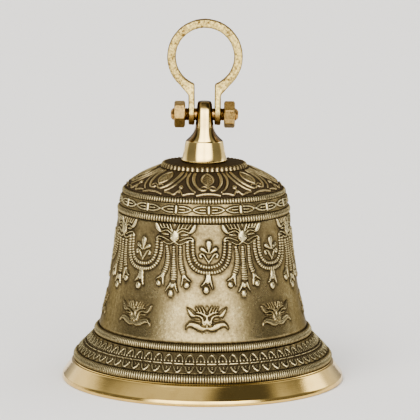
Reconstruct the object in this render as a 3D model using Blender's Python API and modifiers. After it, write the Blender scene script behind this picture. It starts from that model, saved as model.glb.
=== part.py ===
"""Brass puja bell with a hinged ring handle and a hanging clapper.

Metres, +Z up. The origin is the centre of the lip's resting plane, and the bell's axis is Z.
The handle swings about the pivot stud, which runs along X.
"""

from math import acos, atan2, cos, pi, radians, sin, sqrt

import bmesh
import bpy

MM = 0.001
GAP = 0.3 * MM  # clearance between pieces that touch
ROUND = 48  # steps of the bell
SMALL_ROUND = 24  # steps of the small turned pieces

# Bell casting
LIP_RADIUS = 68.0 * MM
LIP_INNER_RADIUS = 63.4 * MM
LIP_EDGE_HEIGHT = 2.7 * MM
LIP_EDGE_ROUND = 0.5 * MM
FLARE_TOP = (62.3 * MM, 9.6 * MM)
PETAL_BAND_BOTTOM = (60.5 * MM, 14.0 * MM)
PETAL_BAND_TOP = (52.3 * MM, 22.4 * MM)
WAIST_BOTTOM = (50.4 * MM, 26.4 * MM)
WAIST_PULL = (44.4 * MM, 45.0 * MM)
WAIST_TOP = (41.1 * MM, 81.4 * MM)
CHAIN_BAND_BOTTOM = (40.4 * MM, 85.1 * MM)
CHAIN_BAND_TOP = (39.3 * MM, 90.5 * MM)
SHOULDER_BOTTOM = (37.8 * MM, 93.4 * MM)
SHOULDER_PULL = (31.8 * MM, 99.0 * MM)
SHOULDER_TOP = (20.8 * MM, 102.9 * MM)
COLLAR_RADIUS = 20.3 * MM
COLLAR_EDGE = (1.2 * MM, 0.9 * MM)  # how far the rounded edge runs in and down
COLLAR_FOOT = (0.1 * MM, 0.4 * MM)  # how far its foot spreads, and its height above the shoulder
CROWN_TOP = 105.4 * MM
MOULDING_BULGE = 0.9 * MM
MOULDING_STEPS = ((0.12, 0.75), (0.5, 1.0), (0.88, 0.75))  # share of its width, share of its bulge
WALL = 3.2 * MM
CROWN_UNDERSIDE = 101.9 * MM
INNER_FLARE = ((56.3 * MM, 11.0 * MM), (48.7 * MM, 20.4 * MM))
INNER_CROWN = (
    (34.6 * MM, 90.8 * MM),
    (28.6 * MM, 95.6 * MM),
    (17.6 * MM, 100.9 * MM),
    (14.4 * MM, CROWN_UNDERSIDE),
)
CROWN_HOLE_RADIUS = 2.8 * MM

# Stem
STEM_BASE_RADIUS = 10.9 * MM
STEM_BASE_Z = CROWN_TOP + GAP
STEM_BORE_DEPTH = 9.5 * MM
LUG_TOP_Z = 134.4 * MM
# Each section is the height, the half width along X, the half depth along Y and the squareness.
STEM_SECTIONS = (
    (STEM_BASE_Z, STEM_BASE_RADIUS, STEM_BASE_RADIUS, 2.0),
    (115.2 * MM, 9.0 * MM, 9.0 * MM, 2.0),
    (115.9 * MM, 8.5 * MM, 8.8 * MM, 2.0),
    (117.4 * MM, 6.9 * MM, 8.4 * MM, 2.1),
    (119.2 * MM, 5.5 * MM, 7.9 * MM, 2.3),
    (121.8 * MM, 4.4 * MM, 7.3 * MM, 2.6),
    (128.0 * MM, 3.8 * MM, 6.6 * MM, 3.0),
    (132.0 * MM, 3.6 * MM, 5.3 * MM, 3.2),
    (133.6 * MM, 3.3 * MM, 3.9 * MM, 3.0),
    (LUG_TOP_Z, 2.6 * MM, 2.4 * MM, 2.6),
)
STEM_ROUND = 32

# Pivot
PIVOT_Z = 128.0 * MM
STUD_RADIUS = 3.05 * MM
STUD_LENGTH = 32.4 * MM
STUD_CHAMFER = 0.9 * MM
NUT_CORNER_RADIUS = 6.65 * MM
NUT_THICKNESS = 5.2 * MM
NUT_INNER_FACE = 9.3 * MM
NUT_CHAMFER = 0.7 * MM
NUT_TURNS = {"pivot_nut_left": 41.0, "pivot_nut_right": 6.0}  # degrees about the stud

# Bail
RING_CENTRE_Z = 155.7 * MM
RING_OUTER_RADIUS = 18.0 * MM
RING_INNER_RADIUS = 14.0 * MM
RING_DEPTH = 5.0 * MM
NECK_HALF_GAP = 4.9 * MM
LEG_INNER = 4.7 * MM
LEG_OUTER = 7.7 * MM
LEG_SHOULDER_Z = 137.4 * MM
RING_LEAVES_AT = 42.0  # degrees from straight down, where the ring's outside turns to the leg
EYE_RADIUS = 5.1 * MM
LEG_TAPER_TOP_Z = 141.0 * MM

# Clapper suspension, from the crown down
SHANK_RADIUS = 2.5 * MM
WASHER_RADIUS = 7.0 * MM
WASHER_THICKNESS = 1.2 * MM
LOCK_WASHER_RADIUS = 4.7 * MM
LOCK_WASHER_THICKNESS = 1.4 * MM
LOCK_WASHER_SPLIT = 1.2 * MM
CROWN_NUT_CORNER_RADIUS = 5.75 * MM
CROWN_NUT_THICKNESS = 4.0 * MM
EYE_RING_RADIUS = 4.5 * MM
EYE_WIRE_RADIUS = 1.5 * MM
LINK_END_RADIUS = 3.2 * MM
LINK_LENGTH = 8.0 * MM
LINK_WIRE_RADIUS = 1.2 * MM
ROD_EYE_RADIUS = 3.7 * MM
ROD_EYE_WIRE_RADIUS = 1.3 * MM
ROD_EYE_DROP = 0.8 * MM
ROD_TOP_RADIUS = 1.9 * MM
ROD_RADIUS = 2.5 * MM
BALL_RADIUS = 11.0 * MM
BALL_Z = 22.0 * MM
BALL_BORE_DEPTH = 9.0 * MM

WASHER_TOP = CROWN_UNDERSIDE - GAP
LOCK_WASHER_TOP = WASHER_TOP - WASHER_THICKNESS - GAP
CROWN_NUT_TOP = LOCK_WASHER_TOP - LOCK_WASHER_THICKNESS - GAP
EYE_Z = CROWN_NUT_TOP - CROWN_NUT_THICKNESS - EYE_RING_RADIUS - EYE_WIRE_RADIUS - 2 * GAP
LINK_PIVOT_Z = EYE_Z - EYE_RING_RADIUS  # the middle of the eyebolt's lowest wire
LINK_BOTTOM_Z = LINK_PIVOT_Z - LINK_LENGTH - LINK_END_RADIUS  # the middle of the link's lowest wire
ROD_EYE_Z = LINK_BOTTOM_Z - ROD_EYE_DROP

BRASS_AGED = ((0.33, 0.27, 0.15), 0.42)
BRASS_POLISHED = ((0.80, 0.62, 0.28), 0.14)
BRASS_CAST = ((0.74, 0.62, 0.38), 0.38)
BRONZE_NUT = ((0.46, 0.33, 0.15), 0.34)
STEEL = ((0.55, 0.55, 0.56), 0.35)


def clear_scene():
    for obj in list(bpy.data.objects):
        bpy.data.objects.remove(obj)


def new_collection(name):
    collection = bpy.data.collections.new(name)
    bpy.context.scene.collection.children.link(collection)
    return collection


def finish_of(name, look):
    """A Principled material for one piece."""
    (red, green, blue), roughness = look
    material = bpy.data.materials.new(name)
    material.use_nodes = True
    shader = material.node_tree.nodes["Principled BSDF"]
    shader.inputs["Base Color"].default_value = (red, green, blue, 1.0)
    shader.inputs["Metallic"].default_value = 1.0
    shader.inputs["Roughness"].default_value = roughness
    return material


def add_part(name, mesh, look):
    obj = bpy.data.objects.new(name, mesh)
    PARTS.objects.link(obj)
    mesh.materials.clear()
    mesh.materials.append(finish_of(name, look))
    return obj


def add_cutter(name, mesh):
    obj = bpy.data.objects.new(name, mesh)
    CUTTERS.objects.link(obj)
    obj.hide_render = True
    obj.display_type = "WIRE"
    return obj


def combine(obj, other, operation):
    modifier = obj.modifiers.new(other.name, "BOOLEAN")
    modifier.object = other
    modifier.operation = operation
    modifier.solver = "EXACT"


def smooth(obj, angle=35.0):
    obj.data.shade_smooth()
    obj.data.set_sharp_from_angle(angle=radians(angle))


def bezier(start, pull, end, count):
    """count points of a quadratic curve, its start and end among them."""
    points = []
    for i in range(count):
        t = i / (count - 1)
        weights = ((1 - t) ** 2, 2 * t * (1 - t), t * t)
        x = sum(w * p[0] for w, p in zip(weights, (start, pull, end)))
        y = sum(w * p[1] for w, p in zip(weights, (start, pull, end)))
        points.append((x, y))
    return points


def moulding(top, bottom):
    """The half-round bead between two points of the outline, without those points."""
    run, fall = bottom[0] - top[0], bottom[1] - top[1]
    length = sqrt(run * run + fall * fall)
    out = (-fall / length, run / length)
    points = []
    for along, share in MOULDING_STEPS:
        rise = share * MOULDING_BULGE
        points.append((top[0] + along * run + rise * out[0], top[1] + along * fall + rise * out[1]))
    return points


def profile_mesh(name, points, closed):
    mesh = bpy.data.meshes.new(name)
    edges = [(i, i + 1) for i in range(len(points) - 1)]
    if closed:
        edges.append((len(points) - 1, 0))
    mesh.from_pydata([(r, 0.0, z) for r, z in points], edges, [])
    return mesh


def turn(obj, steps):
    """Turns the profile about Z."""
    screw = obj.modifiers.new("turn", "SCREW")
    screw.angle = 2 * pi
    screw.steps = steps
    screw.render_steps = steps
    screw.use_merge_vertices = True
    screw.merge_threshold = 0.00001
    screw.use_smooth_shade = True


def turned_part(name, points, look, closed=False, steps=SMALL_ROUND):
    obj = add_part(name, profile_mesh(name, points, closed), look)
    turn(obj, steps)
    return obj


def cylinder_mesh(name, radius, length, segments, top_radius=None):
    mesh = bpy.data.meshes.new(name)
    bm = bmesh.new()
    bmesh.ops.create_cone(
        bm,
        cap_ends=True,
        segments=segments,
        radius1=radius,
        radius2=radius if top_radius is None else top_radius,
        depth=length,
    )
    bm.to_mesh(mesh)
    bm.free()
    return mesh


def torus_mesh(name, ring_radius, wire_radius):
    bpy.ops.mesh.primitive_torus_add(
        major_radius=ring_radius, minor_radius=wire_radius, major_segments=24, minor_segments=10
    )
    obj = bpy.context.active_object
    mesh = obj.data
    mesh.name = name
    bpy.data.objects.remove(obj)
    return mesh


def plate_mesh(name, outline, thickness):
    """A flat outline in XY, given thickness along Z and made one closed mesh."""
    curve = bpy.data.curves.new(name, "CURVE")
    curve.dimensions = "2D"
    curve.fill_mode = "BOTH"
    curve.extrude = thickness / 2
    spline = curve.splines.new("POLY")
    spline.points.add(len(outline) - 1)
    for point, (x, y) in zip(spline.points, outline):
        point.co = (x, y, 0.0, 1.0)
    spline.use_cyclic_u = True
    obj = bpy.data.objects.new(name, curve)
    PARTS.objects.link(obj)
    graph = bpy.context.evaluated_depsgraph_get()
    mesh = bpy.data.meshes.new_from_object(obj.evaluated_get(graph))
    bpy.data.objects.remove(obj)
    bm = bmesh.new()
    bm.from_mesh(mesh)
    bmesh.ops.remove_doubles(bm, verts=bm.verts, dist=0.000001)
    bmesh.ops.recalc_face_normals(bm, faces=bm.faces)
    bm.to_mesh(mesh)
    bm.free()
    return mesh


def arc(centre, radius, start, end, count):
    """count points from start to end, in degrees."""
    points = []
    for i in range(count):
        angle = radians(start + (end - start) * i / (count - 1))
        points.append((centre[0] + radius * cos(angle), centre[1] + radius * sin(angle)))
    return points


def bell_outline():
    """The outer side from the crown's hole down to the lip, then the inner side back up."""
    outer = [
        (CROWN_HOLE_RADIUS, CROWN_TOP),
        (COLLAR_RADIUS - COLLAR_EDGE[0], CROWN_TOP),
        (COLLAR_RADIUS, CROWN_TOP - COLLAR_EDGE[1]),
        (COLLAR_RADIUS + COLLAR_FOOT[0], SHOULDER_TOP[1] + COLLAR_FOOT[1]),
    ]
    outer += bezier(SHOULDER_TOP, SHOULDER_PULL, SHOULDER_BOTTOM, 5)
    outer += moulding(SHOULDER_BOTTOM, CHAIN_BAND_TOP)
    outer += [CHAIN_BAND_TOP, CHAIN_BAND_BOTTOM]
    outer += moulding(CHAIN_BAND_BOTTOM, WAIST_TOP)
    outer += bezier(WAIST_TOP, WAIST_PULL, WAIST_BOTTOM, 8)
    outer += moulding(WAIST_BOTTOM, PETAL_BAND_TOP)
    outer += [PETAL_BAND_TOP, PETAL_BAND_BOTTOM]
    outer += moulding(PETAL_BAND_BOTTOM, FLARE_TOP)
    outer += [
        FLARE_TOP,
        (LIP_RADIUS - LIP_EDGE_ROUND, LIP_EDGE_HEIGHT),
        (LIP_RADIUS, LIP_EDGE_HEIGHT / 3),
        (LIP_RADIUS - LIP_EDGE_ROUND, 0.0),
    ]
    inside_waist = [(r - WALL, z) for r, z in (WAIST_BOTTOM, WAIST_PULL, WAIST_TOP)]
    inner = [(LIP_INNER_RADIUS, 0.0), *INNER_FLARE]
    inner += bezier(*inside_waist, 6)
    inner += [*INNER_CROWN, (CROWN_HOLE_RADIUS, CROWN_UNDERSIDE)]
    return outer + inner


def make_bell():
    turned_part("bell_body", bell_outline(), BRASS_AGED, closed=True, steps=ROUND)


def stem_mesh():
    """A loft from the round foot to the flattened lug."""
    mesh = bpy.data.meshes.new("crown_stem")
    bm = bmesh.new()
    rings = []
    for z, half_width, half_depth, squareness in STEM_SECTIONS:
        ring = []
        for i in range(STEM_ROUND):
            angle = 2 * pi * i / STEM_ROUND
            c, s = cos(angle), sin(angle)
            x = half_width * abs(c) ** (2 / squareness) * (1 if c >= 0 else -1)
            y = half_depth * abs(s) ** (2 / squareness) * (1 if s >= 0 else -1)
            ring.append(bm.verts.new((x, y, z)))
        rings.append(ring)
    for low, high in zip(rings, rings[1:]):
        for i in range(STEM_ROUND):
            j = (i + 1) % STEM_ROUND
            bm.faces.new((low[i], low[j], high[j], high[i]))
    bm.faces.new(reversed(rings[0]))
    bm.faces.new(rings[-1])
    bm.to_mesh(mesh)
    bm.free()
    return mesh


def make_stem():
    stem = add_part("crown_stem", stem_mesh(), BRASS_POLISHED)
    smooth(stem)
    bore = add_cutter(
        "stem_bore", cylinder_mesh("stem_bore", SHANK_RADIUS + GAP, 2 * STEM_BORE_DEPTH, SMALL_ROUND)
    )
    bore.location.z = STEM_BASE_Z
    combine(stem, bore, "DIFFERENCE")
    combine(stem, pivot_cutter("lug_bore"), "DIFFERENCE")


def pivot_cutter(name):
    cutter = add_cutter(name, cylinder_mesh(name, STUD_RADIUS + GAP, 2 * STUD_LENGTH, SMALL_ROUND))
    cutter.location.z = PIVOT_Z
    cutter.rotation_euler.y = pi / 2
    return cutter


def bail_front_outline():
    """The ring and its two legs, seen along Y, as points (x, height above the pivot)."""
    centre = (0.0, RING_CENTRE_Z - PIVOT_Z)
    neck_angle = acos(NECK_HALF_GAP / RING_INNER_RADIUS) * 180 / pi
    outside = arc(centre, RING_OUTER_RADIUS, RING_LEAVES_AT - 90, 270 - RING_LEAVES_AT, 37)
    inside = arc(centre, RING_INNER_RADIUS, 180 + neck_angle, -neck_angle, 33)
    right_leg = [
        (LEG_INNER, -EYE_RADIUS),
        (LEG_OUTER, -EYE_RADIUS),
        (LEG_OUTER, LEG_SHOULDER_Z - PIVOT_Z),
    ]
    left_leg = [(-x, y) for x, y in reversed(right_leg)]
    return right_leg + outside + left_leg + inside


def bail_side_outline():
    """The eye, the tapering leg and the ring's edge, seen along X, as points (y, height over the pivot)."""
    half = RING_DEPTH / 2
    taper_top = LEG_TAPER_TOP_Z - PIVOT_Z
    top = RING_CENTRE_Z + 2 * RING_OUTER_RADIUS - PIVOT_Z
    lean = atan2(EYE_RADIUS - half, taper_top) * 180 / pi
    eye = arc((0.0, 0.0), EYE_RADIUS, 180 - lean, 360 + lean, 17)
    return eye + [(half, taper_top), (half, top), (-half, top), (-half, taper_top)]


def make_bail():
    """The bail is where its front outline and its side outline, each given depth, meet."""
    mesh = plate_mesh("bail", bail_front_outline(), 4 * EYE_RADIUS)
    bail = add_part("bail", mesh, BRASS_CAST)
    bail.location.z = PIVOT_Z
    bail.rotation_euler.x = pi / 2
    side = add_cutter(
        "bail_side", plate_mesh("bail_side", bail_side_outline(), 4 * RING_OUTER_RADIUS)
    )
    side.location.z = PIVOT_Z
    side.rotation_euler = (pi / 2, 0.0, pi / 2)
    combine(bail, side, "INTERSECT")
    combine(bail, pivot_cutter("bail_bore"), "DIFFERENCE")
    edge = bail.modifiers.new("edge", "BEVEL")
    edge.width = 0.4 * MM
    edge.segments = 1
    edge.limit_method = "ANGLE"
    edge.angle_limit = radians(50)
    edge.use_clamp_overlap = True
    smooth(bail)


def make_stud():
    half = STUD_LENGTH / 2
    stud = turned_part(
        "pivot_stud",
        [
            (0.0, half),
            (STUD_RADIUS - STUD_CHAMFER, half),
            (STUD_RADIUS, half - STUD_CHAMFER),
            (STUD_RADIUS, STUD_CHAMFER - half),
            (STUD_RADIUS - STUD_CHAMFER, -half),
            (0.0, -half),
        ],
        BRONZE_NUT,
    )
    stud.location.z = PIVOT_Z
    stud.rotation_euler.y = pi / 2


def hex_nut(name, corner_radius, thickness, bore_radius, look):
    """A chamfered hexagon nut along Z, with a corner at +X."""
    nut = add_part(name, cylinder_mesh(name, corner_radius, thickness, 6), look)
    half = thickness / 2
    drum = add_cutter(
        name + "_chamfer",
        profile_mesh(
            name + "_chamfer",
            [
                (0.0, half + GAP),
                (corner_radius - 2 * NUT_CHAMFER, half + GAP),
                (corner_radius + 0.1 * MM, half - NUT_CHAMFER),
                (corner_radius + 0.1 * MM, NUT_CHAMFER - half),
                (corner_radius - 2 * NUT_CHAMFER, -half - GAP),
                (0.0, -half - GAP),
            ],
            False,
        ),
    )
    turn(drum, SMALL_ROUND)
    hole = cylinder_mesh(name + "_bore", bore_radius, 3 * thickness, SMALL_ROUND)
    bore = add_cutter(name + "_bore", hole)
    combine(nut, drum, "INTERSECT")
    combine(nut, bore, "DIFFERENCE")
    return nut, (drum, bore)


def make_pivot_nuts():
    for name, turn_degrees in NUT_TURNS.items():
        side = -1 if name.endswith("left") else 1
        nut, cutters = hex_nut(name, NUT_CORNER_RADIUS, NUT_THICKNESS, STUD_RADIUS + GAP, BRONZE_NUT)
        for piece in (nut, *cutters):
            piece.rotation_mode = "YXZ"
            piece.rotation_euler = (radians(turn_degrees), pi / 2, 0.0)
            piece.location = (side * (NUT_INNER_FACE + NUT_THICKNESS / 2), 0.0, PIVOT_Z)


def make_eyebolt():
    """The eye stands in the XZ plane, and its threaded shank runs up through the crown into the stem."""
    eyebolt = add_part(
        "clapper_eyebolt", torus_mesh("clapper_eyebolt", EYE_RING_RADIUS, EYE_WIRE_RADIUS), BRASS_CAST
    )
    eyebolt.location.z = EYE_Z
    eyebolt.rotation_euler.x = pi / 2
    bottom = EYE_Z + EYE_RING_RADIUS - EYE_WIRE_RADIUS / 2
    top = STEM_BASE_Z + STEM_BORE_DEPTH - 2 * GAP
    shank = add_cutter("shank", cylinder_mesh("shank", SHANK_RADIUS, top - bottom, SMALL_ROUND))
    shank.location.z = (top + bottom) / 2
    combine(eyebolt, shank, "UNION")


def make_washers():
    bore = SHANK_RADIUS + GAP
    turned_part(
        "crown_washer",
        [
            (bore, WASHER_TOP),
            (WASHER_RADIUS, WASHER_TOP),
            (WASHER_RADIUS, WASHER_TOP - WASHER_THICKNESS),
            (bore, WASHER_TOP - WASHER_THICKNESS),
        ],
        BRASS_CAST,
        closed=True,
    )
    lock_washer = turned_part(
        "lock_washer",
        [
            (bore, LOCK_WASHER_TOP),
            (LOCK_WASHER_RADIUS, LOCK_WASHER_TOP),
            (LOCK_WASHER_RADIUS, LOCK_WASHER_TOP - LOCK_WASHER_THICKNESS),
            (bore, LOCK_WASHER_TOP - LOCK_WASHER_THICKNESS),
        ],
        STEEL,
        closed=True,
    )
    mesh = bpy.data.meshes.new("lock_washer_split")
    bm = bmesh.new()
    bmesh.ops.create_cube(bm, size=1.0)
    size = (2 * LOCK_WASHER_RADIUS, LOCK_WASHER_SPLIT, 4 * LOCK_WASHER_THICKNESS)
    bmesh.ops.scale(bm, verts=bm.verts, vec=size)
    bm.to_mesh(mesh)
    bm.free()
    split = add_cutter("lock_washer_split", mesh)
    split.location = (LOCK_WASHER_RADIUS, 0.0, LOCK_WASHER_TOP)
    split.rotation_euler.x = radians(25)
    combine(lock_washer, split, "DIFFERENCE")


def make_crown_nut():
    nut, cutters = hex_nut(
        "crown_nut", CROWN_NUT_CORNER_RADIUS, CROWN_NUT_THICKNESS, SHANK_RADIUS + GAP, BRASS_CAST
    )
    for piece in (nut, *cutters):
        piece.location.z = CROWN_NUT_TOP - CROWN_NUT_THICKNESS / 2


def make_link():
    """A long closed ring in the YZ plane, through the eyebolt's eye and the rod's eye."""
    curve = bpy.data.curves.new("clapper_link", "CURVE")
    curve.dimensions = "3D"
    curve.fill_mode = "FULL"
    curve.bevel_depth = LINK_WIRE_RADIUS
    curve.bevel_resolution = 2
    points = arc((0.0, 0.0), LINK_END_RADIUS, 0, 180, 11)
    points += arc((0.0, -LINK_LENGTH), LINK_END_RADIUS, 180, 360, 11)
    spline = curve.splines.new("POLY")
    spline.points.add(len(points) - 1)
    for point, (y, z) in zip(spline.points, points):
        point.co = (0.0, y, z, 1.0)
    spline.use_cyclic_u = True
    link = bpy.data.objects.new("clapper_link", curve)
    PARTS.objects.link(link)
    link.location.z = LINK_PIVOT_Z
    curve.materials.append(finish_of("clapper_link", STEEL))


def make_clapper():
    """The rod hangs from its eye and is threaded into the ball."""
    rod_bottom = BALL_Z + BALL_RADIUS - BALL_BORE_DEPTH + GAP - ROD_EYE_Z
    eye = torus_mesh("clapper_rod", ROD_EYE_RADIUS, ROD_EYE_WIRE_RADIUS)
    rod = add_part("clapper_rod", eye, BRASS_CAST)
    rod.location.z = ROD_EYE_Z
    rod.rotation_euler.x = pi / 2
    stem_top = -ROD_EYE_RADIUS
    stem = add_cutter(
        "rod_stem",
        profile_mesh(
            "rod_stem",
            [
                (0.0, stem_top),
                (ROD_TOP_RADIUS, stem_top - ROD_EYE_WIRE_RADIUS / 3),
                (ROD_TOP_RADIUS, stem_top - 4 * ROD_EYE_WIRE_RADIUS),
                (ROD_RADIUS, stem_top - 7 * ROD_EYE_WIRE_RADIUS),
                (ROD_RADIUS, rod_bottom),
                (0.0, rod_bottom),
            ],
            False,
        ),
    )
    turn(stem, SMALL_ROUND)
    stem.location.z = ROD_EYE_Z
    combine(rod, stem, "UNION")

    bore = ROD_RADIUS + GAP
    lean = acos(bore / BALL_RADIUS) * 180 / pi
    shell = arc((0.0, 0.0), BALL_RADIUS, lean, -90, 14)
    ball = turned_part(
        "clapper_ball",
        [(0.0, BALL_RADIUS - BALL_BORE_DEPTH), (bore, BALL_RADIUS - BALL_BORE_DEPTH)] + shell,
        BRASS_CAST,
        steps=SMALL_ROUND,
    )
    ball.location.z = BALL_Z


clear_scene()
PARTS = new_collection("brass_puja_bell")
CUTTERS = new_collection("cutters")
make_bell()
make_stem()
make_bail()
make_stud()
make_pivot_nuts()
make_eyebolt()
make_washers()
make_crown_nut()
make_link()
make_clapper()
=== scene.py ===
"""The looks of a brass puja bell with a swinging ring handle and a clapper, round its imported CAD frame.

Lengths in the shape code are millimetres in the row frame: the bell stands on z 0, its axis is z and its
front faces -y. Angles round the bell start at the front and grow towards +x.
"""

from math import cos, hypot, pi, radians, sin, tau

import bpy
import numpy as np
from mathutils import Matrix, Vector


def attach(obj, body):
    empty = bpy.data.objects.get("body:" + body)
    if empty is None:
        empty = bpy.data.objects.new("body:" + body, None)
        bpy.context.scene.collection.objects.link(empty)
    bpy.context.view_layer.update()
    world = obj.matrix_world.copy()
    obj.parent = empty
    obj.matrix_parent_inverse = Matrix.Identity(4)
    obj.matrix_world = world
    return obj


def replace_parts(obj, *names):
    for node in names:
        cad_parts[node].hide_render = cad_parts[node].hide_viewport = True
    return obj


MM = 0.001
SECTORS = 8  # how often the ornament repeats round the bell
PATTERN_TURN = radians(3.4)  # the ornament's own centre line, from the front

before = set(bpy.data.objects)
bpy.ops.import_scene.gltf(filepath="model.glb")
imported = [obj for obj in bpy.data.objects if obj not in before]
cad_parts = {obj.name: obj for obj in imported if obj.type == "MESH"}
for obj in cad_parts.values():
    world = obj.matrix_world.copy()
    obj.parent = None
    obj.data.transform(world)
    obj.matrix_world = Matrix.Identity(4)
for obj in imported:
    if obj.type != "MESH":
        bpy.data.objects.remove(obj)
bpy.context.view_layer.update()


# Lines and profiles


def between(start, end, count):
    """Points on a straight line."""
    share = np.linspace(0, 1, count)[:, None]
    return np.array(start) * (1 - share) + np.array(end) * share


def bezier(start, pull, end, count):
    """Points on a quadratic curve."""
    t = np.linspace(0, 1, count)[:, None]
    return (1 - t) ** 2 * np.array(start) + 2 * t * (1 - t) * np.array(pull) + t**2 * np.array(end)


def eased(points, per_span=6):
    """A smooth curve through the points, whatever else each point holds besides its place."""
    p = np.array(points, float)
    p = np.vstack([2 * p[0] - p[1], p, 2 * p[-1] - p[-2]])
    t = np.linspace(0, 1, per_span, endpoint=False)[:, None]
    spans = []
    for a, b, c, d in zip(p, p[1:], p[2:], p[3:]):
        bend = (2 * a - 5 * b + 4 * c - d) * t**2 + (3 * b - a - 3 * c + d) * t**3
        spans.append(b + 0.5 * ((c - a) * t + bend))
    return np.vstack(spans + [p[-2:-1]])


def resampled(line, steps):
    """The line's points at these distances along it."""
    along = np.concatenate([[0], np.cumsum(np.hypot(*np.diff(line, axis=0).T))])
    return np.stack([np.interp(steps, along, line[:, k]) for k in (0, 1)], 1)


def length_of(line):
    return float(np.hypot(*np.diff(line, axis=0).T).sum())


def normals_of(line):
    """Outward directions along a profile that is walked from the top down."""
    tangent = np.gradient(line, axis=0)
    tangent /= np.hypot(*tangent.T)[:, None]
    return np.stack([-tangent[:, 1], tangent[:, 0]], 1)


# Pieces

BACK_ROWS = 6  # rows of points in the hidden back of each ring


def store_tone(mesh, tone):
    """Keeps for the material a tone for each point, from 1 where rubbed bright to -1 where dark: wear and
    patina on the bell's relief, painted shade on the stem and the ring handle.
    """
    values = np.ascontiguousarray(tone, np.float32).ravel()
    mesh.attributes.new("tone", "FLOAT", "POINT").data.foreach_set("value", values)


def make_piece(name, points, faces, material, body, smooth=None, tone=None, normals=None):
    """A mesh piece riding on a body, from points in millimetres."""
    mesh = bpy.data.meshes.new(name)
    mesh.from_pydata(np.asarray(points) * MM, [], faces)
    if tone is not None:
        store_tone(mesh, tone)
    flags = np.ones(len(mesh.polygons), bool) if smooth is None else smooth
    mesh.polygons.foreach_set("use_smooth", flags)
    if normals is not None:
        mesh.normals_split_custom_set_from_vertices(normals)
    mesh.materials.append(material)
    obj = bpy.data.objects.new(name, mesh)
    bpy.context.scene.collection.objects.link(obj)
    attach(obj, body)
    return obj


def loop_faces(rows, columns, close_rows=True):
    """Quads over a grid of rows that wraps round its columns, and over the last row to the first."""
    j = np.arange(rows if close_rows else rows - 1)[:, None]
    i = np.arange(columns)[None, :]
    below = (j + 1) % rows
    right = (i + 1) % columns
    corners = (j * columns + i, below * columns + i, below * columns + right, j * columns + right)
    return np.stack(corners, -1).reshape(-1, 4)


def turns(count):
    """Angles evenly round the axis."""
    return np.arange(count) * tau / count


def around(radius, z, theta):
    """Points at these radii and heights round the axis."""
    radius, z, theta = np.broadcast_arrays(radius, z, theta)
    return np.stack([radius * np.sin(theta), -radius * np.cos(theta), z], -1)


def raised_face(line, theta, relief):
    """A profile swept round the axis, with each point pushed outwards by its relief."""
    out = normals_of(line)
    return around(line[:, :1] + out[:, :1] * relief, line[:, 1:] + out[:, 1:] * relief, theta[None, :])


def band(name, line, theta, relief, tone, material, depth=1.2, normals=None):
    """A closed ring of the bell's body: a raised outer face, and a plain back hidden inside the wall."""
    face = raised_face(line, theta, relief)
    out = normals_of(line)
    picks = np.unique(np.linspace(len(line) - 1, 0, BACK_ROWS).astype(int))[::-1]
    back = line[picks] - out[picks] * depth
    behind = around(back[:, :1], back[:, 1:], theta[None, :])
    points = np.vstack([face, behind]).reshape(-1, 3)
    rows, columns = len(face) + len(behind), len(theta)
    shade = np.vstack([tone, np.zeros((len(behind), columns))])
    faces = loop_faces(rows, columns)
    shown = np.arange(len(faces)) < (len(face) - 1) * columns
    if normals is not None:
        inward = around(-out[picks, :1], -out[picks, 1:], theta[None, :])
        normals = np.vstack([normals, inward]).reshape(-1, 3)
        shown = None
    return make_piece(name, points, faces, material, "bell", shown, shade, normals)


def grid_normals(points):
    """Outward directions of a relief grid, from its neighbouring points."""
    down = np.gradient(points, axis=0)
    round_ = np.roll(points, -1, 1) - np.roll(points, 1, 1)
    n = np.cross(down, round_)
    return n / np.linalg.norm(n, axis=2)[..., None]


# Drawing relief

OUTLINE_WIDTH, OUTLINE_DEPTH = 0.17, 0.25  # the groove punched round each raised shape
RIB_DEPTH = 0.46  # the cuts between a rope's ribs
FULL_HEIGHT = 0.7  # relief this high is rubbed fully bright


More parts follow.
